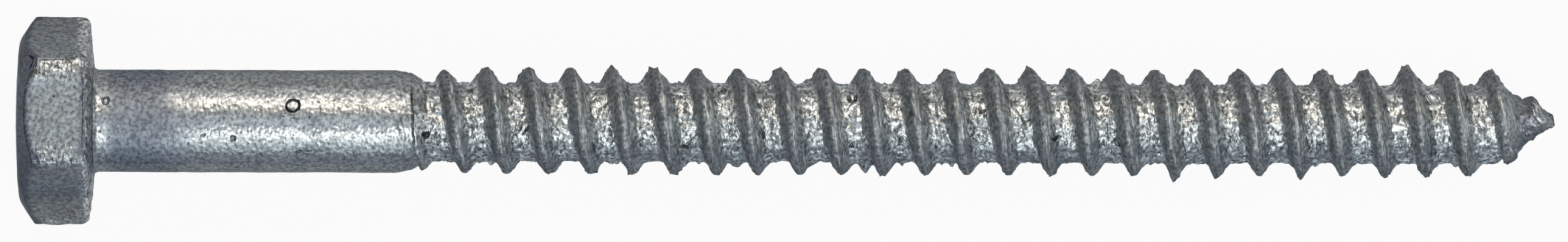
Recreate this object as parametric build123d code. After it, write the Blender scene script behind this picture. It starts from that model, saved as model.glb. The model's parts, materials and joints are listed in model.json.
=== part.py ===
"""Hex-head lag screw, hot-dip galvanised steel, forged and thread-rolled in one piece.

The screw is built along its own axis: the axis is +X, x = 0 is the face under the head and x grows
towards the point. Angles about the axis start at +Y and grow towards +Z, so the thread is right-handed.
At the end the screw is tipped nose-down about Y, because on a bench it lies on one flat of its head and
on the last full crest of its thread.
"""

from build123d import *

import os
from math import asin, atan2, ceil, cos, degrees, hypot, pi, radians, sin, tan

# Head, in millimetres and degrees
across_flats = 11.0
head_height = 4.45
crown_rise = 0.2
chamfer_circle = 9.7
chamfer_angle = 33.0
corner_round = 0.25
seat_edge_round = 0.3
chamfer_round = 0.2

# Shank, the two steps of its shoulder, and the core of the thread
screw_length = 88.9
neck_fillet = 0.35
shank_diameter = 6.2
shank_length = 18.5
shoulder_diameter = 5.8
shoulder_length = 1.0
run_out_length = 0.85
root_diameter = 4.7

# Point
point_angle = 60.0
point_diameter = 0.6

# Thread: one coarse ridge, trapezoidal in section
pitch = 2.54
crest_diameter = 6.42
crest_flat = 0.3
flank_angle = 33.0

# The ridge starts just under the skin of the shoulder, grows to full height and fades along the point
start_past_shank = 0.35
start_depth = 0.05
growth_turns = 2.0
fade_length = 3.9
bare_point = 0.6

# How finely the ridge follows its helix, and how far its foot is sunk into the core
points_per_turn = 12
turns_per_length = 2
foot_depth = 0.15

seat_radius = across_flats / 2
shank_radius = shank_diameter / 2
shoulder_radius = shoulder_diameter / 2
root_radius = root_diameter / 2
point_radius = point_diameter / 2
shoulder_end = shank_length + shoulder_length
run_out_end = shoulder_end + run_out_length
point_slope = tan(radians(point_angle / 2))
point_start = screw_length - (root_radius - point_radius) / point_slope
ridge_start = shank_length + start_past_shank
ridge_turns = (screw_length - bare_point - ridge_start) / pitch
full_height = crest_diameter / 2 - root_radius
start_height = shoulder_radius - start_depth - root_radius


def forged_head():
    """A hexagon with flats facing up and down, a chamfered crown and softened edges."""
    corner_radius = seat_radius / cos(pi / 6)
    chamfer_radius = chamfer_circle / 2
    chamfer_width = corner_radius - chamfer_radius
    chamfer_depth = chamfer_width * tan(radians(chamfer_angle))
    crown_edge = crown_rise - head_height
    crown_radius = (chamfer_radius**2 + crown_rise**2) / (2 * crown_rise)

    hexagon = Plane.YZ * RegularPolygon(seat_radius, 6, major_radius=False)
    prism = extrude(hexagon, -head_height)
    prism = fillet(prism.edges().filter_by(Axis.X), corner_round)
    prism = fillet(prism.faces().sort_by(Axis.X)[-1].edges(), seat_edge_round)

    crown = RadiusArc((-head_height, 0), (crown_edge, chamfer_radius), crown_radius)
    sides = Polyline((crown_edge, chamfer_radius), (crown_edge + chamfer_depth, corner_radius),
                     (0, corner_radius), (0, 0), (-head_height, 0))
    head = prism & revolve(make_face([crown, sides]), Axis.X)

    rim = head.faces().filter_by(GeomType.CONE).edges().filter_by(GeomType.LINE, reverse=True)
    return fillet(rim, chamfer_round)


def turned_blank():
    """Shank, shoulder, core and point in one revolved outline, rooted in the middle of the head."""
    neck_radius = shank_radius + neck_fillet
    hollow = neck_fillet * (1 - cos(pi / 4))
    root_in_head = Polyline((0, neck_radius), (-head_height / 2, neck_radius), (-head_height / 2, 0),
                            (screw_length, 0))
    neck = ThreePointArc((0, neck_radius), (hollow, shank_radius + hollow), (neck_fillet, shank_radius))
    body = Polyline((neck_fillet, shank_radius), (shank_length, shank_radius),
                    (shoulder_end, shoulder_radius), (run_out_end, root_radius),
                    (point_start, root_radius), (screw_length, point_radius), (screw_length, 0))
    return revolve(make_face([root_in_head, neck, body]), Axis.X)


def core_radius(x):
    """Radius of the bare core at x: a cylinder, then the cone of the point."""
    return min(root_radius, root_radius - (x - point_start) * point_slope)


def ridge_height(x):
    """Height of the crest above the core at x."""
    growth = (x - ridge_start) / (growth_turns * pitch)
    grown = start_height + (full_height - start_height) * growth
    faded = full_height * (screw_length - x) / fade_length
    return min(full_height, grown, faded)


def ridge_corner(turn, side, at_crest):
    """One corner of the ridge's section after so many turns; side is -1 towards the head, 1 away."""
    middle = ridge_start + turn * pitch
    height = ridge_height(middle)
    radius = core_radius(middle) + height
    half_width = crest_flat / 2
    if not at_crest:
        radius = core_radius(middle) - foot_depth
        half_width += (height + foot_depth) * tan(radians(flank_angle))
    angle = 2 * pi * turn
    return Vector(middle + side * half_width, radius * cos(angle), radius * sin(angle))


def ridge_length(first_turn, last_turn):
    """A closed solid for one stretch of the ridge: two flanks, crest, foot and two flat ends."""
    corners = [(-1, False), (-1, True), (1, True), (1, False)]
    steps = ceil((last_turn - first_turn) * points_per_turn)
    stations = [i / steps for i in range(steps + 1)]
    edges = []
    for side, at_crest in corners:
        points = [ridge_corner(first_turn + (last_turn - first_turn) * s, side, at_crest) for s in stations]
        edges.append(Edge.make_spline(points, parameters=stations))
    sides = [Face.make_surface_from_curves(a, b) for a, b in zip(edges, edges[1:] + edges[:1])]
    ends = [Face(Wire.make_polygon([edge @ end for edge in edges], close=True)) for end in (0, 1)]
    return Solid(Shell(sides + ends))


def rolled_thread():
    """The whole ridge, in lengths of up to two turns laid end to end."""
    count = ceil(ridge_turns / turns_per_length)
    bounds = [ridge_turns * i / count for i in range(count + 1)]
    return [ridge_length(first, last) for first, last in zip(bounds, bounds[1:])]


def rest_angle():
    """Nose-down angle, in degrees, at which the lowest flat's edge and a crest touch the same plane."""
    angles = []
    for whole_turns in range(int(ridge_turns)):
        crest = ridge_corner(whole_turns + 0.75, 1, True)
        along = crest.X + seat_edge_round
        above = crest.Z + seat_radius - seat_edge_round
        angles.append(atan2(above, along) + asin(seat_edge_round / hypot(above, along)))
    return degrees(min(angles))


blank = forged_head() + turned_blank()
screw = blank.solid().fuse(*rolled_thread())
screw = screw.rotate(Axis.Y, rest_angle())
screw.label = "lag_screw"

os.makedirs("parts", exist_ok=True)
export_step(screw, "parts/lag_screw.step")
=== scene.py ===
"""Hex-head lag screw in hot-dip galvanised steel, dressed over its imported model.

The screw is made lying along +X in millimetres: x = 0 is the face under the head and x grows towards the
point. Angles about the axis start at +Y and grow towards +Z, so the thread is right-handed. The last
nodes of the thread's tree tip it nose-down, as it rests, and turn its millimetres to metres.
"""

import json
import random
from math import asin, ceil, cos, degrees, exp, floor, pi, radians, sin, sqrt, tan

import bpy
import numpy as np
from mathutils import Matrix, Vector


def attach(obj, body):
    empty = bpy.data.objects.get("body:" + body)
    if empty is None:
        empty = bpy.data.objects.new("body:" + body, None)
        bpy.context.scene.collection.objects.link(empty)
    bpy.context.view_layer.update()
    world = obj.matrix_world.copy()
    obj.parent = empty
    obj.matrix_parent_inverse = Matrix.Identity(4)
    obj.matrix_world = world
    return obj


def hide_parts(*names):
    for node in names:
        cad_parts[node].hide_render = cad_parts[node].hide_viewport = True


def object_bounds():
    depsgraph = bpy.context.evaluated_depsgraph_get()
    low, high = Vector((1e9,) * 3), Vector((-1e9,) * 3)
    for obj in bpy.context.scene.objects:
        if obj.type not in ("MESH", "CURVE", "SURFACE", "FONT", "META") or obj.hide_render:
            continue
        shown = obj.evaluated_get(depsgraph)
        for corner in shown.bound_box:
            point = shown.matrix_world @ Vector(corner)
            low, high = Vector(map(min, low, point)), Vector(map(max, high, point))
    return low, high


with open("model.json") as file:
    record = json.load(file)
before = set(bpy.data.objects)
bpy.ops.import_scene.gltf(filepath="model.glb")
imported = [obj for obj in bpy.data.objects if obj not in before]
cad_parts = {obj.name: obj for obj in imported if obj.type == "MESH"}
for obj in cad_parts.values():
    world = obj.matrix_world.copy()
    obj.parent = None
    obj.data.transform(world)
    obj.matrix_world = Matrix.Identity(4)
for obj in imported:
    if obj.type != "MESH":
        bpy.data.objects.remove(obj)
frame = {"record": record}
cad_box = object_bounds()

MM = 0.001

# Head, in millimetres and degrees, as in the part's source
across_flats = 11.0
head_height = 4.45
crown_rise = 0.2
chamfer_circle = 9.7
chamfer_angle = 33.0
corner_round = 0.25
seat_edge_round = 0.3
chamfer_round = 0.2

# Finer forms of this one head: a soft crown edge, long edges that roll off, a seat that swells towards
# the neck, softer corners of the seat, and one corner of the chamfer forged short
crown_edge_round = 1.6
roll_off = 0.09
roll_width = 0.75
seat_swell = 0.2
corner_softness = 0.25
notch_depth = 0.5
notch_at = 61.0
notch_half_width = 7.0

# Shank, the two steps of its shoulder, and the core of the thread
screw_length = 88.9
neck_fillet = 0.35
shank_diameter = 6.2
shank_length = 18.5
shoulder_diameter = 5.8
shoulder_length = 1.0
run_out_length = 0.85
root_diameter = 4.7

# Point
point_angle = 60.0
point_diameter = 0.6
tip_shift = 0.33

# Thread
pitch = 2.54
crest_diameter = 6.42
crest_flat = 0.3
flank_angle = 33.0
flank_lean = 3.0
crest_shift = 0.08
start_past_shank = 0.35
start_depth = 0.05
growth_turns = 2.0
fade_length = 3.9

# Mesh: steps round the screw, rows across one pitch, and where the turned part hands over to the thread
steps_round = 120
rows_per_pitch = 22
thread_from = 18.3

seat_radius = across_flats / 2
shank_radius = shank_diameter / 2
shoulder_radius = shoulder_diameter / 2
root_radius = root_diameter / 2
crest_radius = crest_diameter / 2
point_radius = point_diameter / 2
shoulder_end = shank_length + shoulder_length
run_out_end = shoulder_end + run_out_length
point_start = screw_length - (root_radius - point_radius) / tan(radians(point_angle / 2))
ridge_start = shank_length + start_past_shank
full_height = crest_radius - root_radius
start_height = shoulder_radius - start_depth - root_radius

seat = next(m for m in frame["record"]["mounts"] if m["name"] == "bearing_face")
dip = asin(-seat["axis"][2])


def add(tree, kind, inputs=(), **settings):
    """Adds a node with its settings; a node or a socket given as an input is linked to it."""
    node = tree.nodes.new(kind)
    for name, value in settings.items():
        setattr(node, name, value)
    for key, value in dict(inputs).items():
        if isinstance(value, bpy.types.Node):
            value = value.outputs[0]
        if isinstance(value, bpy.types.NodeSocket):
            tree.links.new(value, node.inputs[key])
        else:
            node.inputs[key].default_value = value
    return node


def srgb(code):
    """A colour written as sRGB hex, as the linear values that Blender's sockets take."""
    parts = [int(code[i:i + 2], 16) / 255 for i in (1, 3, 5)]
    return [c / 12.92 if c <= 0.04045 else ((c + 0.055) / 1.055) ** 2.4 for c in parts] + [1.0]


# ------------------------------------------------------------------ head and shank

def hex_radius(angle, inradius):
    """Distance from the axis to the hexagon's side at an angle, with its corners rounded."""
    from_corner = (angle + pi / 6) % (pi / 3) - pi / 6
    along_flat = inradius * (tan(pi / 6) - tan(pi / 6 - abs(from_corner)))
    if abs(sin(angle)) > 0.4:
        inradius -= roll_off * max(0.0, 1 - along_flat / roll_width) ** 2
    straight = inradius / cos(pi / 6 - abs(from_corner))
    to_centre = (inradius - corner_round) / cos(pi / 6)
    reach = corner_round**2 - (to_centre * sin(from_corner)) ** 2
    if reach < 0:
        return straight
    return min(straight, to_centre * cos(from_corner) + sqrt(reach))


def rounded(corners, radii, arc_steps):
    """Points of an outline: each inner corner is replaced by an arc of its radius, in so many steps."""
    outline = [corners[0]]
    for before, corner, after, radius, steps in zip(corners, corners[1:], corners[2:], radii, arc_steps):
        back = (before - corner).normalized()
        ahead = (after - corner).normalized()
        half = back.angle(ahead) / 2
        centre = corner + (back + ahead).normalized() * radius / sin(half)
        start = corner + back * radius / tan(half) - centre
        end = corner + ahead * radius / tan(half) - centre
        turn = start.angle(end)
        for i in range(steps + 1):
            t = i / steps
            arm = (start * sin((1 - t) * turn) + end * sin(t * turn)) / sin(turn)
            outline.append(centre + arm)
    outline.append(corners[-1])
    return outline


def divided(outline, counts):
    """The outline with its straight runs cut into so many parts; a count of 1 leaves a run as it is."""
    points = [outline[0]]
    for a, b, count in zip(outline, outline[1:], counts):
        points += [a.lerp(b, (i + 1) / count) for i in range(count)]
    return points


def head_and_shank():
    """Rings of points from the crown's pole to where the thread's strip takes over."""
    half_sector = [0.0, 0.57, 1.14, 3.0, 6.5, 10.5, 14.5, 18.5, 22.5, 26.3]
    sector = half_sector + [30.0] + [60.0 - a for a in reversed(half_sector[1:])]
    on_head = [radians(60 * k + a) for k in range(6) for a in sector]
    on_shank = [2 * pi * i / steps_round for i in range(steps_round)]

    crown_edge = crown_rise - head_height
    neck_radius = shank_radius + neck_fillet
    arcs = [6, 3, 5]
    counts = [9] + [1] * 6 + [5] + [1] * 3 + [12] + [1] * 5 + [8]
    columns = []
    for angle, shank_angle in zip(on_head, on_shank):
        side = hex_radius(angle, seat_radius)
        notch = notch_depth * exp(-((degrees(angle) - notch_at) / notch_half_width) ** 2)
        chamfer_radius = chamfer_circle / 2 - notch
        corners = [Vector((crown_edge - 2 * crown_rise, 0)), Vector((crown_edge, chamfer_radius)),
                   Vector((crown_edge + (side - chamfer_radius) * tan(radians(chamfer_angle)), side)),
                   Vector((0, side)), Vector((0, neck_radius))]
        from_corner = abs((angle + pi / 6) % (pi / 3) - pi / 6)
        seat_round = seat_edge_round + corner_softness * max(0.0, 1 - from_corner / radians(12))
        outline = rounded(corners, [crown_edge_round, chamfer_round, seat_round], arcs)
        crown_end = outline[1][1]
        outline = divided(outline, counts)
        column = []
        for x, r in outline:
            if x < -head_height / 2 and r < crown_end:
                x = crown_rise * (r / chamfer_radius) ** 2 - head_height
            turn = max(0.0, min(1.0, (seat_radius - r) / (seat_radius - neck_radius))) if x > -0.01 else 0.0
            column.append((x + seat_swell * turn, r, angle + (shank_angle - angle) * turn))
        for i in range(1, 6):
            a = i / 5 * pi / 2
            column.append((seat_swell + neck_fillet * (1 - cos(a)), neck_radius - neck_fillet * sin(a),
                           shank_angle))
        neck_x = seat_swell + neck_fillet
        rows = 92
        for i in range(1, rows + 1):
            column.append((neck_x + (thread_from - neck_x) * i / rows, shank_radius, shank_angle))
        columns.append(column)
    return columns


def coat_of_head(x, r, angle):
    """How dark the zinc is, as a thinner coat and as painted shade, and where it pools, with painted glints,
    on the head and the shank, from 0 to 1, or a little more.
    """
    # Painted shade: each of the six sides is darkened by its own amount, to suit how the lamps fall on it;
    # flat 1 faces up, flat 4 is the one it lies on
    flat = (np.degrees(angle) // 60).astype(int) % 6
    on_side = np.array([0.3, 0.15, 0.5, 0.4, 0.3, 0.3])[flat]
    rim = crown_rise - head_height + (r - chamfer_circle / 2) * tan(radians(chamfer_angle))
    on_chamfer = (x < rim + 0.35) & (r > chamfer_circle / 2 - 0.5) & (x < -1)
    on_seat_edge = np.array([0.0, 0.2, 0.0, 0.5, 0.3, 0.3])[flat]
    thin_coat_and_shade = np.where(x > -seat_edge_round - 0.01, on_seat_edge, on_side)
    # Painted shade: a dark line along the edge of the seat on the side that faces up
    thin_coat_and_shade = np.where((x < -0.12) & (x > -0.42) & (flat == 1), 0.8, thin_coat_and_shade)
    thin_coat_and_shade = np.where(x > -0.05, 0.0, thin_coat_and_shade)
    thin_coat_and_shade = np.where(x > seat_swell + neck_fillet, 0.0, thin_coat_and_shade)
    to_corner = r * np.abs(np.sin(np.radians((np.degrees(angle) + 30) % 60 - 30)))
    # Painted shade: narrow dark lines along the long edges beyond a quarter turn, from the lower edge of the
    # side that faces up
    thin_coat_and_shade = np.where((to_corner < 0.2) & (angle > pi / 2) & (x < -seat_edge_round), 0.7, thin_coat_and_shade)
    # Painted shade: the chamfer, which faces away from the lamps, is darkest
    thin_coat_and_shade = np.where(on_chamfer, 1.0, thin_coat_and_shade)
    thin_coat_and_shade = np.where((x < -3) & ~on_chamfer & (r < chamfer_circle / 2), 0.5, thin_coat_and_shade)

    # Zinc pools along the hexagon's long edges and beside the edge of the bearing face; along the +Y edge of
    # the side that faces up the pools are made widest and brightest, as painted glints
    pooled_and_painted_glints = np.clip(1.5 - to_corner, 0, 1) * np.array([0.0, 1.1, 0.1, 0.3, 0.5, 0.3])[flat]
    pooled_and_painted_glints = pooled_and_painted_glints * np.where(angle > pi / 2, 0.6, 1.2)
    pooled_and_painted_glints = np.where((to_corner < 0.35) & (angle > pi / 2), 0.9, pooled_and_painted_glints)
    pooled_and_painted_glints = np.where((x > -0.75) & (x < -0.2), np.array([1.0, 0.15, 0.2, 0.5, 0.4, 0.5])[flat], pooled_and_painted_glints)
    pooled_and_painted_glints = np.where((x < 0) & ~on_chamfer & (r > chamfer_circle / 2), pooled_and_painted_glints, 0.0)
    pooled_and_painted_glints = np.where((x > -0.25) & (x < 0.2) & (r > neck_fillet + shank_radius), 1.0, pooled_and_painted_glints)
    return thin_coat_and_shade, pooled_and_painted_glints


def ring_mesh(columns):
    """A mesh of quads over the columns of points, closed at its first point and open at its last ring."""
    x, r, angle = np.array(columns).transpose(2, 0, 1)
    points = np.stack([x, r * np.cos(angle), r * np.sin(angle)], axis=-1)
    across, down = x.shape
    index = np.arange(across * down).reshape(across, down)
    ahead = np.roll(index, -1, axis=0)
    quads = np.stack([index[:, :-1], ahead[:, :-1], ahead[:, 1:], index[:, 1:]], axis=-1)
    mesh = bpy.data.meshes.new("turned")
    mesh.from_pydata(points.reshape(-1, 3).tolist(), [], quads.reshape(-1, 4).tolist())

    thin_coat_and_shade, pooled_and_painted_glints = coat_of_head(x, r, angle)
    for name, values in (("thin_coat_and_shade", thin_coat_and_shade), ("pooled_and_painted_glints", pooled_and_painted_glints)):
        layer = mesh.attributes.new(name, "FLOAT", "POINT")
        layer.data.foreach_set("value", values.ravel().astype(np.float32))
    return mesh


# ------------------------------------------------------------------ materials

# Flaws of the coat on its upper side, in millimetres: along, across, half length, half width, turn in
# degrees, radius of the skin there, and depth from 0 to 1; rings are hollow
rings = [(12.4, 0.6, 0.39, 0.37, 20, 3.1, 1.0), (1.1, 0.9, 0.2, 0.2, 0, 3.1, 0.5)]
pits = [(7.0, -1.2, 0.15, 0.1, 20, 3.1, 0.6), (8.8, -1.35, 0.17, 0.17, 0, 3.1, 0.75),
        (12.9, -2.1, 0.6, 0.07, 5, 3.1, 0.6), (19.6, 0.15, 2.6, 0.07, 92.5, 2.85, 0.75),
        (-3.3, 3.3, 0.3, 0.08, -37, 6.24, 0.9), (-3.26, 2.8, 0.36, 0.07, 66, 6.13, 0.8)]

# The thread's own pits and cracks lie at random places: how many, how far they reach to each side, their
# half widths, what half width and half length add up to, and the radius of the skin there
thread_pits = 18
pits_reach = 1.8
narrowest_pit = 0.06
widest_pit = 0.17
pit_span = 0.4
pit_skin = 2.5


def pits_of_thread():
    """Short cracks and round pits along the upper side of the thread."""
    draw = random.Random(11)
    found = []
    for _ in range(thread_pits):
        along = draw.uniform(run_out_end, point_start)
        across = draw.uniform(-pits_reach, pits_reach)
        width = draw.uniform(narrowest_pit, widest_pit)
        turn = draw.uniform(-90, 90)
        depth = draw.uniform(0.5, 0.9)
        found.append((along, across, pit_span - width, width, turn, pit_skin, depth))
    return found


def sunken_and_shaded_flaws(tree, place, level):
    """How deep the skin is sunk into the pits, rings and cracks, and into small dark specks, from 0 to 1; it
    also sets how near black their hollows are painted, as painted shade.
    """
    shaken = add(tree, "ShaderNodeTexNoise", {"Vector": place, "Scale": 1 / (0.4 * MM)}).outputs["Color"]
    shaken = add(tree, "ShaderNodeVectorMath", {0: shaken, 1: (0.5, 0.5, 0.5)}, operation="SUBTRACT")
    shaken = add(tree, "ShaderNodeVectorMath", {0: shaken, "Scale": 0.25 * MM}, operation="SCALE")
    shaken = add(tree, "ShaderNodeVectorMath", {0: shaken, 1: level}, operation="ADD")
    flaws_and_hollow_shade = 0.0
    for hollow, along, across, length, width, turn, radius, depth in (
            [(1.0, *ring) for ring in rings] + [(0.0, *pit) for pit in pits + pits_of_thread()]):
        up = sqrt(radius**2 - across**2)
        off = add(tree, "ShaderNodeMapping", {
            "Vector": shaken, "Location": (along * MM, across * MM, up * MM),
            "Rotation": (0, 0, radians(turn)), "Scale": (length * MM, width * MM, MM)},
            vector_type="TEXTURE")
        off = add(tree, "ShaderNodeVectorMath", {0: off}, operation="LENGTH").outputs["Value"]
        off = add(tree, "ShaderNodeMath", {0: off, 1: hollow}, operation="SUBTRACT")
        off = add(tree, "ShaderNodeMath", {0: off}, operation="ABSOLUTE")
        sunk = add(tree, "ShaderNodeMapRange", {"Value": off, "From Min": 0.03 if hollow else 0.6,
                                                "From Max": 0.09 / length if hollow else 1.2,
                                                "To Min": depth, "To Max": 0.0})
        flaws_and_hollow_shade = add(tree, "ShaderNodeMath", {0: sunk, 1: flaws_and_hollow_shade}, operation="MAXIMUM")

    pepper = add(tree, "ShaderNodeTexNoise", {"Vector": place, "Scale": 1 / (0.3 * MM), "Detail": 1.0})
    pepper = add(tree, "ShaderNodeMapRange", {"Value": pepper, "From Min": 0.72, "From Max": 0.82,
                                              "To Max": 0.5})
    flaws_and_hollow_shade = add(tree, "ShaderNodeMath", {0: pepper, 1: flaws_and_hollow_shade}, operation="MAXIMUM")
    return flaws_and_hollow_shade


def clouded_zinc(tree, place, cloud, pooled_and_painted_glints, thin_coat_and_shade):
    """Colour: clouds a few millimetres across, salt and pepper, dull alloy where the coat is thinner and
    where shade is painted, bright pools with painted glints.
    """
    speck = add(tree, "ShaderNodeTexNoise", {"Vector": place, "Scale": 1 / (0.24 * MM), "Detail": 2.0,
                                             "Roughness": 0.6})
    speck = add(tree, "ShaderNodeMapRange", {"Value": speck, "From Min": 0.35, "From Max": 0.65})
    tone = add(tree, "ShaderNodeMath", {0: cloud, 1: 0.4, 2: speck}, operation="MULTIPLY_ADD")
    tone = add(tree, "ShaderNodeMapRange", {"Value": tone, "From Min": 0.2, "From Max": 1.2})
    zinc = add(tree, "ShaderNodeMix", {"Factor": tone, "A": srgb("#747a7e"), "B": srgb("#b4babe")},
               data_type="RGBA").outputs["Result"]
    bright = add(tree, "ShaderNodeMix", {"Factor": tone, "A": srgb("#848a8e"), "B": srgb("#dce2e4")},
                 data_type="RGBA").outputs["Result"]
    alloy = add(tree, "ShaderNodeMix", {"Factor": tone, "A": srgb("#55585f"), "B": srgb("#747986")},
                data_type="RGBA").outputs["Result"]
    wound = add(tree, "ShaderNodeVectorMath", {0: place, 1: (1.0, 0.65, 0.65)}, operation="MULTIPLY")
    worms = add(tree, "ShaderNodeTexNoise", {"Vector": wound, "Scale": 1 / (0.2 * MM), "Detail": 0.8,
                                             "Distortion": 0.5})
    # Painted glints: the pools' bright colour is scaled by the crinkle noise, from a third up to a quarter
    # above itself
    gleam = add(tree, "ShaderNodeMapRange", {"Value": worms, "From Min": 0.32, "From Max": 0.64,
                                             "To Min": 0.32, "To Max": 1.26})
    bright = add(tree, "ShaderNodeVectorMath", {0: bright, "Scale": gleam}, operation="SCALE")
    zinc = add(tree, "ShaderNodeMix", {"Factor": pooled_and_painted_glints, "A": zinc, "B": bright},
               data_type="RGBA").outputs["Result"]
    zinc = add(tree, "ShaderNodeMix", {"Factor": thin_coat_and_shade, "A": zinc, "B": alloy},
               data_type="RGBA").outputs["Result"]
    return zinc, speck, worms


def streaks_and_crest_glints(tree, place, course, flank, painted_crest_line, speck):
    """Bright streaks drawn along the flanks by the rolling, and painted highlights in short broken bits
    along the crest line.
    """
    streaks = add(tree, "ShaderNodeTexNoise", {"Vector": course, "Scale": 1.0, "Detail": 2.0})
    ahead = add(tree, "ShaderNodeSeparateXYZ", {0: course}).outputs["Z"]
    drawn = add(tree, "ShaderNodeMapRange", {"Value": streaks, "From Min": 0.49, "From Max": 0.6,
                                             "To Max": 0.7})
    drawn = add(tree, "ShaderNodeMath", {0: drawn, 1: ahead}, operation="MULTIPLY")
    drawn = add(tree, "ShaderNodeMath", {0: drawn, 1: flank}, operation="MULTIPLY")
    broken = add(tree, "ShaderNodeTexNoise", {"Vector": place, "Scale": 1 / (0.7 * MM), "Detail": 2.0})
    broken = add(tree, "ShaderNodeMapRange", {"Value": broken, "From Min": 0.42, "From Max": 0.58,
                                              "To Max": 2.4})
    drawn = add(tree, "ShaderNodeMath", {0: drawn, 1: broken}, operation="MULTIPLY")
    crest_glints_and_streaks = add(tree, "ShaderNodeMapRange", {"Value": speck, "From Min": 0.45, "From Max": 0.9,
                                              "To Max": 0.45})
    crest_glints_and_streaks = add(tree, "ShaderNodeMath", {0: crest_glints_and_streaks, 1: painted_crest_line}, operation="MULTIPLY")
    crest_glints_and_streaks = add(tree, "ShaderNodeMath", {0: crest_glints_and_streaks, 1: drawn}, operation="MAXIMUM")
    return drawn, crest_glints_and_streaks


def painted_side_shade(tree, zinc, spot, lift, threaded, pooled_and_painted_glints, flank, painted_crest_line):
    """Painted shade: the zinc is darkened on both sides of the screw, where they turn from the lamps, and
    painted cooler on the near one.
    """
    side_angle = add(tree, "ShaderNodeMath", {0: spot["Y"], 1: lift}, operation="ARCTAN2")
    steep = add(tree, "ShaderNodeMath", {0: side_angle}, operation="COSINE")
    steep = add(tree, "ShaderNodeMath", {0: steep}, operation="ABSOLUTE")
    deepest_side_shade = add(tree, "ShaderNodeMapRange", {"Value": pooled_and_painted_glints, "To Min": 0.8, "To Max": 1.15})
    side_shade = add(tree, "ShaderNodeMapRange", {"Value": steep, "From Min": 0.35, "From Max": 0.85,
                                               "To Min": deepest_side_shade, "To Max": 1.0})
    zinc = add(tree, "ShaderNodeVectorMath", {0: zinc, "Scale": side_shade}, operation="SCALE")
    # Painted shade: the crest line, which faces the lamps above, is darkened by a third
    crest_shade = add(tree, "ShaderNodeMapRange", {"Value": painted_crest_line, "To Min": 1.0, "To Max": 0.66})
    zinc = add(tree, "ShaderNodeVectorMath", {0: zinc, "Scale": crest_shade}, operation="SCALE")
    near = add(tree, "ShaderNodeMath", {0: side_angle}, operation="SINE")
    shaded = add(tree, "ShaderNodeMapRange", {"Value": near, "From Min": -0.15, "From Max": -0.85})
    rim = add(tree, "ShaderNodeMapRange", {"Value": near, "From Min": -0.88, "From Max": -0.95,
                                           "To Min": 1.0, "To Max": 0.0})
    rim = add(tree, "ShaderNodeMath", {0: rim, 1: threaded}, operation="MAXIMUM")
    shaded = add(tree, "ShaderNodeMath", {0: shaded, 1: rim}, operation="MULTIPLY")
    spared = add(tree, "ShaderNodeMapRange", {"Value": flank, "To Min": 1.0, "To Max": 0.5})
    shaded = add(tree, "ShaderNodeMath", {0: shaded, 1: spared}, operation="MULTIPLY")
    # Painted shade: cooler and darker on the near side, but not at its outermost edge on the shank, and less
    # on the flanks
    zinc = add(tree, "ShaderNodeMix", {"Factor": shaded, "A": zinc, "B": srgb("#d2d8e2")},
               data_type="RGBA", blend_type="MULTIPLY").outputs["Result"]
    return zinc


def relief(tree, place, spot, dull, flank, drawn, worms, pooled_and_painted_glints, flaws_and_hollow_shade):
    """Frozen grain all over, crinkled pools in the roots, rolling streaks on the flanks, flaws."""
    cast = add(tree, "ShaderNodeMapRange", {"Value": flank, "To Min": 1.0, "To Max": 0.25})
    soft = add(tree, "ShaderNodeMapRange", {"Value": dull, "To Min": 1.0, "To Max": 0.6})
    on_head = add(tree, "ShaderNodeMapRange", {"Value": spot["X"], "From Min": -0.3 * MM,
                                               "From Max": 0.3 * MM, "To Min": 0.65, "To Max": 1.0})
    cast = add(tree, "ShaderNodeMath", {0: cast, 1: soft}, operation="MULTIPLY")
    cast = add(tree, "ShaderNodeMath", {0: cast, 1: on_head}, operation="MULTIPLY")
    grain = add(tree, "ShaderNodeTexNoise", {"Vector": place, "Scale": 1 / (0.2 * MM), "Detail": 0.0})
    packed = add(tree, "ShaderNodeVectorMath", {0: place, 1: (1.6, 1.0, 1.0)}, operation="MULTIPLY")
    pebble = add(tree, "ShaderNodeTexNoise", {"Vector": packed, "Scale": 1 / (0.28 * MM), "Detail": 0.3})
    bumps = add(tree, "ShaderNodeBump", {"Strength": cast, "Distance": 0.014 * MM, "Height": grain})
    bumps = add(tree, "ShaderNodeBump", {"Strength": cast, "Distance": 0.037 * MM, "Height": pebble,
                                         "Normal": bumps})
    bumps = add(tree, "ShaderNodeBump", {"Strength": 1.0, "Distance": 0.03 * MM, "Height": drawn,
                                         "Normal": bumps})
    worms = add(tree, "ShaderNodeMath", {0: worms, 1: pooled_and_painted_glints}, operation="MULTIPLY")
    bumps = add(tree, "ShaderNodeBump", {"Strength": 1.0, "Distance": 0.1 * MM, "Height": worms,
                                         "Normal": bumps})
    bumps = add(tree, "ShaderNodeBump", {"Strength": 1.0, "Distance": 0.12 * MM, "Height": flaws_and_hollow_shade,
                                         "Normal": bumps}, invert=True)
    return bumps


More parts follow.
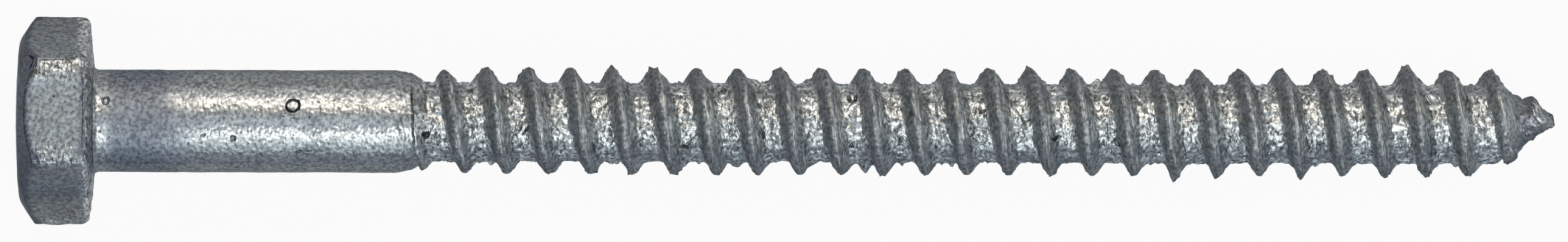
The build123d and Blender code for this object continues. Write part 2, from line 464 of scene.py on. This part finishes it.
def galvanised_coat():
    """Hot-dip galvanised steel: dull grey zinc with a fine frozen grain that sparkles, gathered bright in
    the roots of the thread with painted glints, and dark on its flanks as a thinner coat and painted shade;
    painted shade also darkens its sides."""
    material = bpy.data.materials.new("hot_dip_galvanised_steel")
    material.use_nodes = True
    tree = material.node_tree
    tree.nodes.clear()
    place = add(tree, "ShaderNodeTexCoord").outputs["Object"]
    pooled_and_painted_glints = add(tree, "ShaderNodeAttribute", attribute_name="pooled_and_painted_glints").outputs["Fac"]
    thin_coat_and_shade = add(tree, "ShaderNodeAttribute", attribute_name="thin_coat_and_shade").outputs["Fac"]
    flank = add(tree, "ShaderNodeAttribute", attribute_name="flank").outputs["Fac"]
    painted_crest_line = add(tree, "ShaderNodeAttribute", attribute_name="painted_crest_line").outputs["Fac"]
    course = add(tree, "ShaderNodeAttribute", attribute_name="course").outputs["Vector"]

    # Where on the screw: along its axis, across it, and up from the axis, which dips
    spot = add(tree, "ShaderNodeSeparateXYZ", {0: place}).outputs
    lift = add(tree, "ShaderNodeMath", {0: spot["X"], 1: tan(dip), 2: spot["Z"]}, operation="MULTIPLY_ADD")
    level = add(tree, "ShaderNodeCombineXYZ", {0: spot["X"], 1: spot["Y"], 2: lift})
    cloud = add(tree, "ShaderNodeTexNoise", {"Vector": place, "Scale": 1 / (2.5 * MM), "Detail": 3.0})
    threaded = add(tree, "ShaderNodeMapRange", {"Value": spot["X"], "From Min": shank_length * MM,
                                                "From Max": run_out_end * MM})

    # Some of the pools in the thread froze rough and grey
    dross = add(tree, "ShaderNodeTexNoise", {"Vector": place, "Scale": 1 / (1.7 * MM), "Detail": 2.0})
    dross = add(tree, "ShaderNodeMapRange", {"Value": dross, "From Min": 0.4, "From Max": 0.52,
                                             "To Min": 0.2})
    dross = add(tree, "ShaderNodeMapRange", {"Value": threaded, "To Min": 1.0, "To Max": dross})
    pooled_and_painted_glints = add(tree, "ShaderNodeMath", {0: pooled_and_painted_glints, 1: dross}, operation="MULTIPLY")

    # A band under the head froze dull, with a ragged edge
    ragged = add(tree, "ShaderNodeMath", {0: cloud, 1: 5 * MM, 2: spot["X"]}, operation="MULTIPLY_ADD")
    dull = add(tree, "ShaderNodeMapRange", {"Value": ragged, "From Min": 7.0 * MM, "From Max": 9.2 * MM,
                                            "To Min": 1.0, "To Max": 0.0})
    past_neck = add(tree, "ShaderNodeMapRange", {"Value": spot["X"], "From Min": 0.8 * MM,
                                                 "From Max": 1.6 * MM})
    dull = add(tree, "ShaderNodeMath", {0: dull, 1: past_neck}, operation="MULTIPLY")

    flaws_and_hollow_shade = sunken_and_shaded_flaws(tree, place, level)
    zinc, speck, worms = clouded_zinc(tree, place, cloud, pooled_and_painted_glints, thin_coat_and_shade)
    drawn, crest_glints_and_streaks = streaks_and_crest_glints(tree, place, course, flank, painted_crest_line, speck)
    # Painted highlight on the broken bits of the crest line, and the pale colour of the rolling streaks
    zinc = add(tree, "ShaderNodeMix", {"Factor": crest_glints_and_streaks, "A": zinc, "B": srgb("#ccd4d5")},
               data_type="RGBA").outputs["Result"]
    # Painted shade: the pits, rings, cracks and specks are coloured near black, as the shade in their
    # hollows
    zinc = add(tree, "ShaderNodeMix", {"Factor": flaws_and_hollow_shade, "A": zinc, "B": srgb("#121416")},
               data_type="RGBA").outputs["Result"]
    zinc = add(tree, "ShaderNodeMix", {"Factor": dull, "A": zinc, "B": srgb("#d8dce8")},
               data_type="RGBA", blend_type="MULTIPLY").outputs["Result"]
    zinc = painted_side_shade(tree, zinc, spot, lift, threaded, pooled_and_painted_glints, flank, painted_crest_line)
    bumps = relief(tree, place, spot, dull, flank, drawn, worms, pooled_and_painted_glints, flaws_and_hollow_shade)

    rough = add(tree, "ShaderNodeMapRange", {"Value": pooled_and_painted_glints, "To Min": 0.33, "To Max": 0.39})
    rough = add(tree, "ShaderNodeMath", {0: flank, 1: 0.2, 2: rough}, operation="MULTIPLY_ADD")
    rough = add(tree, "ShaderNodeMath", {0: dull, 1: 0.28, 2: rough}, operation="MULTIPLY_ADD")
    shader = add(tree, "ShaderNodeBsdfPrincipled", {
        "Base Color": zinc, "Metallic": 0.9, "Roughness": rough, "Normal": bumps,
        "Specular Tint": srgb("#b8bec4")})
    add(tree, "ShaderNodeOutputMaterial", {"Surface": shader})
    return material


def white_paper():
    """Matt white paper: what looks at it directly or in the metal sees it white, with a faint shadow."""
    material = bpy.data.materials.new("white_paper")
    material.use_nodes = True
    tree = material.node_tree
    tree.nodes.clear()
    looked_at = add(tree, "ShaderNodeLightPath").outputs
    mirrored = add(tree, "ShaderNodeMath", {0: looked_at["Is Glossy Ray"],
                                            1: looked_at["Is Transmission Ray"]}, operation="ADD")
    seen = add(tree, "ShaderNodeMath", {0: looked_at["Is Camera Ray"], 1: 0.94}, operation="MULTIPLY")
    seen = add(tree, "ShaderNodeMath", {0: mirrored, 1: 0.45, 2: seen}, operation="MULTIPLY_ADD")
    paper = add(tree, "ShaderNodeBsdfDiffuse", {"Color": srgb("#b0b0b0")})
    glow = add(tree, "ShaderNodeEmission", {"Color": srgb("#ffffff"), "Strength": 1.0})
    surface = add(tree, "ShaderNodeMixShader", {0: seen, 1: paper, 2: glow})
    add(tree, "ShaderNodeOutputMaterial", {"Surface": surface})
    return material


# ------------------------------------------------------------------ thread

def core_height(tree, x):
    """Radius of the bare core at x: shank, two steps of the shoulder, cylinder and cone."""
    step_one = add(tree, "ShaderNodeMapRange", {
        "Value": x, "From Min": shank_length, "From Max": shoulder_end, "To Min": shank_radius,
        "To Max": shoulder_radius})
    step_two = add(tree, "ShaderNodeMapRange", {
        "Value": x, "From Min": shoulder_end, "From Max": run_out_end, "To Min": 0.0,
        "To Max": root_radius - shoulder_radius})
    cone = add(tree, "ShaderNodeMapRange", {
        "Value": x, "From Min": point_start, "From Max": screw_length, "To Min": 0.0,
        "To Max": point_radius - root_radius})
    core = add(tree, "ShaderNodeMath", {0: step_one, 1: step_two}, operation="ADD")
    core = add(tree, "ShaderNodeMath", {0: core, 1: cone}, operation="ADD")
    return core


def ridge_over_core(tree, given, core, middle, angle, off_crest, ahead):
    """Radius with the ridge on the core: its height grows from the shoulder and fades along the point."""
    grown = add(tree, "ShaderNodeMath", {0: middle, 1: given["Ridge Start"]}, operation="SUBTRACT")
    grown = add(tree, "ShaderNodeMath", {0: grown, 1: given["Growth Length"]}, operation="DIVIDE")
    rise = add(tree, "ShaderNodeMath", {0: given["Full Height"], 1: given["Start Height"]},
               operation="SUBTRACT")
    grown = add(tree, "ShaderNodeMath", {0: grown, 1: rise, 2: given["Start Height"]},
                operation="MULTIPLY_ADD")
    faded = add(tree, "ShaderNodeMath", {0: given["Tip"], 1: middle}, operation="SUBTRACT")
    faded = add(tree, "ShaderNodeMath", {0: faded, 1: given["Fade Length"]}, operation="DIVIDE")
    faded = add(tree, "ShaderNodeMath", {0: faded, 1: given["Full Height"]}, operation="MULTIPLY")
    height = add(tree, "ShaderNodeMath", {0: grown, 1: faded}, operation="MINIMUM")
    height = add(tree, "ShaderNodeMath", {0: height, 1: given["Full Height"]}, operation="MINIMUM")
    under_crest = add(tree, "ShaderNodeMapRange", {
        "Value": middle, "From Min": point_start, "From Max": screw_length, "To Min": root_radius,
        "To Max": point_radius})
    crest = add(tree, "ShaderNodeMath", {0: under_crest, 1: height}, operation="ADD")
    shift = add(tree, "ShaderNodeMath", {0: angle}, operation="COSINE")
    crest = add(tree, "ShaderNodeMath", {0: shift, 1: crest_shift, 2: crest}, operation="MULTIPLY_ADD")
    aside = add(tree, "ShaderNodeMath", {0: off_crest}, operation="ABSOLUTE")
    # The strip's two edges meet half a pitch from the crest, so there the ridge comes down to the bare core
    seam = add(tree, "ShaderNodeMapRange", {"Value": aside, "From Min": 0.4 * pitch, "From Max": 0.5 * pitch,
                                            "To Min": 1.0, "To Max": 0.0})
    half_flat = add(tree, "ShaderNodeMath", {0: given["Crest Flat"], 1: 0.5}, operation="MULTIPLY")
    aside = add(tree, "ShaderNodeMath", {0: aside, 1: half_flat}, operation="SUBTRACT")
    drop = add(tree, "ShaderNodeMath", {0: aside, 1: 0.0, 2: 0.1}, operation="SMOOTH_MAX")
    slope = add(tree, "ShaderNodeMapRange", {
        "Value": ahead, "To Min": given["Back Flank Slope"], "To Max": given["Front Flank Slope"]})
    foot = add(tree, "ShaderNodeMapRange", {"Value": ahead, "To Min": 0.12, "To Max": 0.27})
    flank = add(tree, "ShaderNodeMath", {0: drop, 1: slope}, operation="MULTIPLY")
    flank = add(tree, "ShaderNodeMath", {0: crest, 1: flank}, operation="SUBTRACT")
    radius = add(tree, "ShaderNodeMath", {0: core, 1: flank, 2: foot}, operation="SMOOTH_MAX")
    raised = add(tree, "ShaderNodeMath", {0: radius, 1: core}, operation="SUBTRACT")
    radius = add(tree, "ShaderNodeMath", {0: raised, 1: seam, 2: core}, operation="MULTIPLY_ADD")
    return radius


def coat_of_strip(tree, x, angle, off_crest, ahead, radius, core):
    """What the coat needs to know: how much zinc pools, 1 in the roots, with painted glints; how dark the
    zinc is, as a thinner coat and painted shade, and where the flanks are; the crest line, which carries
    painted highlight and painted shade; and the course, which runs across the strip, along it and tells its
    two flanks apart."""
    above = add(tree, "ShaderNodeMath", {0: radius, 1: core}, operation="SUBTRACT")
    on_thread = add(tree, "ShaderNodeMapRange", {"Value": x, "From Min": shoulder_end,
                                                 "From Max": run_out_end})
    lapped = add(tree, "ShaderNodeMapRange", {"Value": ahead, "To Min": 0.2, "To Max": 0.6})
    in_root = add(tree, "ShaderNodeMapRange", {"Value": above, "From Min": 0.04, "From Max": lapped,
                                               "To Min": 1.0, "To Max": 0.0})
    pooled_and_painted_glints = add(tree, "ShaderNodeMath", {0: on_thread, 1: in_root}, operation="MULTIPLY")
    thin_coat_and_shade = add(tree, "ShaderNodeMapRange", {"Value": above, "From Min": 0.05, "From Max": 0.35})
    smooth = add(tree, "ShaderNodeMath", {0: on_thread, 1: thin_coat_and_shade}, operation="MULTIPLY")
    on_point = add(tree, "ShaderNodeMapRange", {"Value": x, "From Min": point_start,
                                                "From Max": point_start + 1.5})
    pooled_and_painted_glints = add(tree, "ShaderNodeMath", {0: pooled_and_painted_glints, 1: on_point}, operation="SUBTRACT")
    pooled_and_painted_glints = add(tree, "ShaderNodeMath", {0: pooled_and_painted_glints, 1: 0.0}, operation="MAXIMUM")
    off_line = add(tree, "ShaderNodeMath", {0: off_crest, 1: 0.02}, operation="ADD")
    off_line = add(tree, "ShaderNodeMath", {0: off_line}, operation="ABSOLUTE")
    line = add(tree, "ShaderNodeMapRange", {"Value": off_line, "From Min": 0.02, "From Max": 0.09,
                                            "To Min": 1.0, "To Max": 0.0})
    painted_crest_line = add(tree, "ShaderNodeMath", {0: smooth, 1: line}, operation="MULTIPLY")
    # Painted shade: the crest line takes more of the dark alloy than the flanks
    thin_coat_and_shade = add(tree, "ShaderNodeMath", {0: painted_crest_line, 1: 0.6, 2: smooth}, operation="MULTIPLY_ADD")
    # Painted shade: the back flank, which faces the head and away from the lamps, is darkened more than the
    # front one
    flank_shade = add(tree, "ShaderNodeMapRange", {"Value": ahead, "To Min": 0.3, "To Max": 0.2})
    thin_coat_and_shade = add(tree, "ShaderNodeMath", {0: thin_coat_and_shade, 1: flank_shade}, operation="MULTIPLY")
    bare = add(tree, "ShaderNodeMath", {0: on_point, 1: 0.5}, operation="MULTIPLY")
    thin_coat_and_shade = add(tree, "ShaderNodeMath", {0: thin_coat_and_shade, 1: bare}, operation="MAXIMUM")
    along = add(tree, "ShaderNodeMath", {0: angle, 1: root_radius / 2.0}, operation="MULTIPLY")
    course = add(tree, "ShaderNodeMath", {0: off_crest, 1: 1 / 0.12}, operation="MULTIPLY")
    course = add(tree, "ShaderNodeCombineXYZ", {0: course, 1: along, 2: ahead})
    rolled = add(tree, "ShaderNodeMapRange", {"Value": ahead, "To Min": 1.0, "To Max": 0.55})
    rolled = add(tree, "ShaderNodeMath", {0: rolled, 1: smooth}, operation="MULTIPLY")
    return {"pooled_and_painted_glints": pooled_and_painted_glints, "thin_coat_and_shade": thin_coat_and_shade, "flank": rolled, "painted_crest_line": painted_crest_line, "course": course}


def frozen_lumps(tree):
    """The molten coat freezes in low swells everywhere, and in lumps and crumbs on the thread."""
    spot = add(tree, "GeometryNodeInputPosition")
    swell = add(tree, "ShaderNodeTexNoise", {"Vector": spot, "Scale": 1 / 1.8, "Detail": 2.0})
    lumps = add(tree, "ShaderNodeTexNoise", {"Vector": spot, "Scale": 1 / 0.5, "Detail": 2.0})
    crumbs = add(tree, "ShaderNodeTexNoise", {"Vector": spot, "Scale": 1 / 0.3, "Detail": 1.0,
                                              "W": 4.0}, noise_dimensions="4D")
    swell = add(tree, "ShaderNodeMath", {0: swell, 1: 0.5}, operation="SUBTRACT")
    swell = add(tree, "ShaderNodeMath", {0: swell, 1: 0.1}, operation="MULTIPLY")
    lumps = add(tree, "ShaderNodeMath", {0: lumps, 1: 0.5}, operation="SUBTRACT")
    crumbs = add(tree, "ShaderNodeMapRange", {"Value": crumbs, "From Min": 0.6, "From Max": 0.76,
                                              "To Max": 0.16})
    in_pool = add(tree, "GeometryNodeInputNamedAttribute", {"Name": "pooled_and_painted_glints"}, data_type="FLOAT")
    past_shank = add(tree, "ShaderNodeSeparateXYZ", {0: spot}).outputs["X"]
    past_shank = add(tree, "ShaderNodeMapRange", {"Value": past_shank, "From Min": shank_length,
                                                  "From Max": run_out_end})
    lumpy = add(tree, "ShaderNodeMapRange", {"Value": past_shank, "To Min": 0.03, "To Max": 0.2})
    lumpy = add(tree, "ShaderNodeMath", {0: in_pool, 1: 0.2, 2: lumpy}, operation="MULTIPLY_ADD")
    crumbs = add(tree, "ShaderNodeMath", {0: crumbs, 1: past_shank}, operation="MULTIPLY")
    lumps = add(tree, "ShaderNodeMath", {0: lumps, 1: lumpy, 2: swell}, operation="MULTIPLY_ADD")
    lumps = add(tree, "ShaderNodeMath", {0: lumps, 1: crumbs}, operation="ADD")
    return lumps


def thread_tree(coat):
    """The thread's tree: a strip of grid wound on a helix, one pitch wide, meets the turned part."""
    tree = bpy.data.node_groups.new("rolled_thread", "GeometryNodeTree")
    face = tree.interface
    face.new_socket("Turned Part", in_out="INPUT", socket_type="NodeSocketGeometry")
    sizes = {"Pitch": pitch, "First Turn": floor((thread_from - ridge_start) / pitch - 0.5),
             "Turns": ceil((screw_length - thread_from) / pitch) + 2,
             "Ridge Start": ridge_start, "Strip Start": thread_from, "Tip": screw_length,
             "Crest Flat": crest_flat,
             "Back Flank Slope": 1 / tan(radians(flank_angle - flank_lean)),
             "Front Flank Slope": 1 / tan(radians(flank_angle + flank_lean)), "Full Height": full_height,
             "Start Height": start_height, "Growth Length": growth_turns * pitch,
             "Fade Length": fade_length, "Dip": dip}
    for name, value in sizes.items():
        face.new_socket(name, in_out="INPUT", socket_type="NodeSocketFloat")
    face.new_socket("Screw", in_out="OUTPUT", socket_type="NodeSocketGeometry")
    given = tree.nodes.new("NodeGroupInput").outputs

    # The flat strip: X counts turns along the helix, Y goes across one pitch
    steps = int(sizes["Turns"]) * steps_round
    strip = add(tree, "GeometryNodeMeshGrid", {
        "Size X": given["Turns"], "Size Y": 1.0, "Vertices X": steps + 1, "Vertices Y": rows_per_pitch + 1})
    where = add(tree, "ShaderNodeSeparateXYZ", {0: add(tree, "GeometryNodeInputPosition")}).outputs
    half = add(tree, "ShaderNodeMath", {0: given["Turns"], 1: 0.5}, operation="MULTIPLY")
    turn = add(tree, "ShaderNodeMath", {0: where["X"], 1: half}, operation="ADD")
    turn = add(tree, "ShaderNodeMath", {0: turn, 1: given["First Turn"]}, operation="ADD")
    angle = add(tree, "ShaderNodeMath", {0: turn, 1: 2 * pi}, operation="MULTIPLY")

    # Rows crowd together at the crest and in the middle of the root
    wave = add(tree, "ShaderNodeMath", {0: where["Y"], 1: 4 * pi}, operation="MULTIPLY")
    wave = add(tree, "ShaderNodeMath", {0: wave}, operation="SINE")
    row = add(tree, "ShaderNodeMath", {0: wave, 1: -0.03, 2: where["Y"]}, operation="MULTIPLY_ADD")
    off_crest = add(tree, "ShaderNodeMath", {0: row, 1: given["Pitch"]}, operation="MULTIPLY")
    middle = add(tree, "ShaderNodeMath", {0: turn, 1: given["Pitch"], 2: given["Ridge Start"]},
                 operation="MULTIPLY_ADD")
    x = add(tree, "ShaderNodeMath", {0: middle, 1: off_crest}, operation="ADD")
    x = add(tree, "ShaderNodeMath", {0: x, 1: given["Strip Start"]}, operation="MAXIMUM")
    x = add(tree, "ShaderNodeMath", {0: x, 1: given["Tip"]}, operation="MINIMUM")

    ahead = add(tree, "ShaderNodeMath", {0: off_crest, 1: 0.0}, operation="GREATER_THAN")
    core = core_height(tree, x)
    radius = ridge_over_core(tree, given, core, middle, angle, off_crest, ahead)

    # The point ends in a small blunt dome
    to_tip = add(tree, "ShaderNodeMath", {0: given["Tip"], 1: x}, operation="SUBTRACT")
    dome = add(tree, "ShaderNodeMath", {0: to_tip, 1: 6.0}, operation="MULTIPLY")
    radius = add(tree, "ShaderNodeMath", {0: radius, 1: dome, 2: 0.15}, operation="SMOOTH_MIN")

    y = add(tree, "ShaderNodeMath", {0: angle}, operation="COSINE")
    strayed = add(tree, "ShaderNodeMapRange", {"Value": x, "From Min": point_start, "From Max": screw_length,
                                               "To Max": tip_shift})
    y = add(tree, "ShaderNodeMath", {0: y, 1: radius, 2: strayed}, operation="MULTIPLY_ADD")
    z = add(tree, "ShaderNodeMath", {0: angle}, operation="SINE")
    z = add(tree, "ShaderNodeMath", {0: z, 1: radius}, operation="MULTIPLY")

    for name, value in coat_of_strip(tree, x, angle, off_crest, ahead, radius, core).items():
        kind = "FLOAT_VECTOR" if name == "course" else "FLOAT"
        strip = add(tree, "GeometryNodeStoreNamedAttribute", {
            "Geometry": strip, "Name": name, "Value": value}, data_type=kind, domain="POINT")
    strip = add(tree, "GeometryNodeSetPosition", {
        "Geometry": strip, "Position": add(tree, "ShaderNodeCombineXYZ", {0: x, 1: y, 2: z})})

    screw = add(tree, "GeometryNodeJoinGeometry", {"Geometry": strip})
    tree.links.new(given["Turned Part"], screw.inputs[0])
    screw = add(tree, "GeometryNodeMergeByDistance", {"Geometry": screw, "Distance": 0.004})

    lumps = frozen_lumps(tree)
    push = add(tree, "ShaderNodeVectorMath", {0: add(tree, "GeometryNodeInputNormal"), "Scale": lumps},
               operation="SCALE")
    screw = add(tree, "GeometryNodeSetPosition", {"Geometry": screw, "Offset": push})
    screw = add(tree, "GeometryNodeSetShadeSmooth", {"Geometry": screw})
    turned = add(tree, "ShaderNodeCombineXYZ", {"Y": given["Dip"]})
    turned = add(tree, "FunctionNodeEulerToRotation", {0: turned})
    screw = add(tree, "GeometryNodeTransform", {"Geometry": screw, "Rotation": turned,
                                                "Scale": (MM, MM, MM)})
    screw = add(tree, "GeometryNodeRealizeInstances", {"Geometry": screw})
    screw = add(tree, "GeometryNodeSetMaterial", {"Geometry": screw, "Material": coat})
    add(tree, "NodeGroupOutput", {"Screw": screw})
    return tree, sizes


# Drops of zinc on each side of the thread lie at random places: how many, their half widths, the least
# height and how far the drops reach up and down the side, in millimetres
drops_per_side = 22
least_drop = 0.08
largest_drop = 0.35
least_height = 0.15
drop_reach = 0.3

# Two more on the head: along, across, half width and height
head_drops = [(-4.44, -1.16, 0.12, -0.1), (0.05, -4.1, 0.17, 0.22)]

# How steeply the line of sight crosses the sides, where the drops show in outline
sight_slope = 0.114


def add_drops(mesh):
    """Pushes the skin out sideways into drops, which froze level with the screw's axis."""
    draw = random.Random(4)
    points = np.empty(3 * len(mesh.vertices), np.float32)
    mesh.vertices.foreach_get("co", points)
    points = points.reshape(-1, 3)
    level = points / MM
    level[:, 2] += level[:, 0] * tan(dip) - sight_slope * level[:, 1]
    flat_off = np.abs(level[:, 2])
    for side in (1, -1):
        for _ in range(drops_per_side):
            along = draw.uniform(run_out_end, point_start)
            half_width = draw.uniform(least_drop, largest_drop)
            height = least_height + half_width * draw.uniform(0.3, 0.9)
            off = ((level[:, 0] - along) / half_width) ** 2 + (flat_off / max(drop_reach, half_width)) ** 2
            points[:, 1] += side * height * MM * np.exp(-off) * (side * level[:, 1] > 0)
    for along, across, half_width, height in head_drops:
        off = (level[:, 0] - along) ** 2 + (level[:, 1] - across) ** 2 + flat_off**2
        points[:, 0] += height * MM * np.exp(-off / half_width**2)
    points[:, 2] = np.maximum(points[:, 2], cad_box[0][2])
    mesh.vertices.foreach_set("co", points.ravel())
    mesh.update()


def make_screw(coat):
    """The whole screw as one closed mesh."""
    blank = bpy.data.objects.new("blank", ring_mesh(head_and_shank()))
    bpy.context.scene.collection.objects.link(blank)
    tree, sizes = thread_tree(coat)
    rolled = blank.modifiers.new("rolled_thread", "NODES")
    rolled.node_group = tree
    for item in tree.interface.items_tree:
        if item.in_out == "INPUT" and item.name in sizes:
            rolled[item.identifier] = float(sizes[item.name])
    view_layer = bpy.context.evaluated_depsgraph_get()
    mesh = bpy.data.meshes.new_from_object(blank.evaluated_get(view_layer), depsgraph=view_layer)
    bpy.data.objects.remove(blank)
    mesh.name = "screw"
    add_drops(mesh)
    screw = bpy.data.objects.new("screw", mesh)
    bpy.context.scene.collection.objects.link(screw)
    return screw


coat = galvanised_coat()
screw = make_screw(coat)
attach(screw, "root")
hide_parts("lag_screw")

# ------------------------------------------------------------------ floor, lights and camera

floor_z = cad_box[0][2]
floor_half = 3.0
floor_mesh = bpy.data.meshes.new("floor")
floor_mesh.from_pydata([(-floor_half, -floor_half, floor_z), (floor_half, -floor_half, floor_z),
                        (floor_half, floor_half, floor_z), (-floor_half, floor_half, floor_z)], [],
                       [(0, 1, 2, 3)])
floor_mesh.materials.append(white_paper())
floor_sheet = bpy.data.objects.new("floor", floor_mesh)
bpy.context.scene.collection.objects.link(floor_sheet)


def softbox(name, towards, distance, width, length, watts, colour):
    """An area light that looks at the middle of the screw; its length runs along X."""
    lamp = bpy.data.lights.new(name, "AREA")
    lamp.shape = "RECTANGLE"
    lamp.size = length
    lamp.size_y = width
    lamp.energy = watts
    lamp.color = srgb(colour)[:3]
    holder = bpy.data.objects.new(name, lamp)
    aim = Vector(towards).normalized()
    holder.location = middle_of_screw + aim * distance
    holder.rotation_euler = aim.to_track_quat("Z", "Y").to_euler()
    bpy.context.scene.collection.objects.link(holder)


def leaning(tilt):
    """Direction that leans by a tilt in degrees from straight up, to +Y where the tilt is positive."""
    return (0.1, sin(radians(tilt)), cos(radians(tilt)))


middle_along = 42.05
middle_across = 0.11
middle_of_screw = Vector((middle_along * MM, middle_across * MM, -middle_along * MM * sin(dip)))
softbox("warm_box", leaning(33), 0.6, 0.11, 0.45, 1.62, "#ffeeda")
softbox("cool_box", leaning(-37), 0.6, 0.11, 0.45, 1.56, "#fffaf0")
softbox("warm_wall", leaning(58), 0.6, 0.34, 0.45, 0.47, "#ffffff")
softbox("cool_wall", leaning(-63), 0.6, 0.34, 0.45, 0.9, "#fcfff8")
softbox("overhead", (0.0, -0.11, 1), 1.0, 0.5, 0.8, 1.4, "#eef8ff")
softbox("right_fill", (0.95, 0, 0.31), 0.8, 0.4, 0.4, 1.2, "#ffffff")

world = bpy.data.worlds.new("studio")
world.use_nodes = True
sky = world.node_tree
direction = add(sky, "ShaderNodeSeparateXYZ", {0: add(sky, "ShaderNodeTexCoord").outputs["Generated"]})
side = add(sky, "ShaderNodeMapRange", {"Value": direction.outputs["Y"], "From Min": -1.0})
tint = add(sky, "ShaderNodeMix", {"Factor": side, "A": srgb("#a9c6e0"), "B": srgb("#faf3e6")},
           data_type="RGBA").outputs["Result"]
sky.links.new(tint, sky.nodes["Background"].inputs["Color"])
sky.nodes["Background"].inputs["Strength"].default_value = 0.25
bpy.context.scene.world = world

bpy.context.scene.view_settings.view_transform = "Standard"

camera_distance = 0.67
camera_elevation = radians(83.5)
view_width = 95.2 * MM
camera = bpy.data.cameras.new("camera")
camera.sensor_width = 36.0
camera.lens = camera.sensor_width * camera_distance / view_width
camera_holder = bpy.data.objects.new("camera", camera)
from_screw = Vector((0, -cos(camera_elevation), sin(camera_elevation)))
camera_holder.location = middle_of_screw + from_screw * camera_distance
camera_holder.rotation_euler = from_screw.to_track_quat("Z", "Y").to_euler()
bpy.context.scene.collection.objects.link(camera_holder)
bpy.context.scene.camera = camera_holder
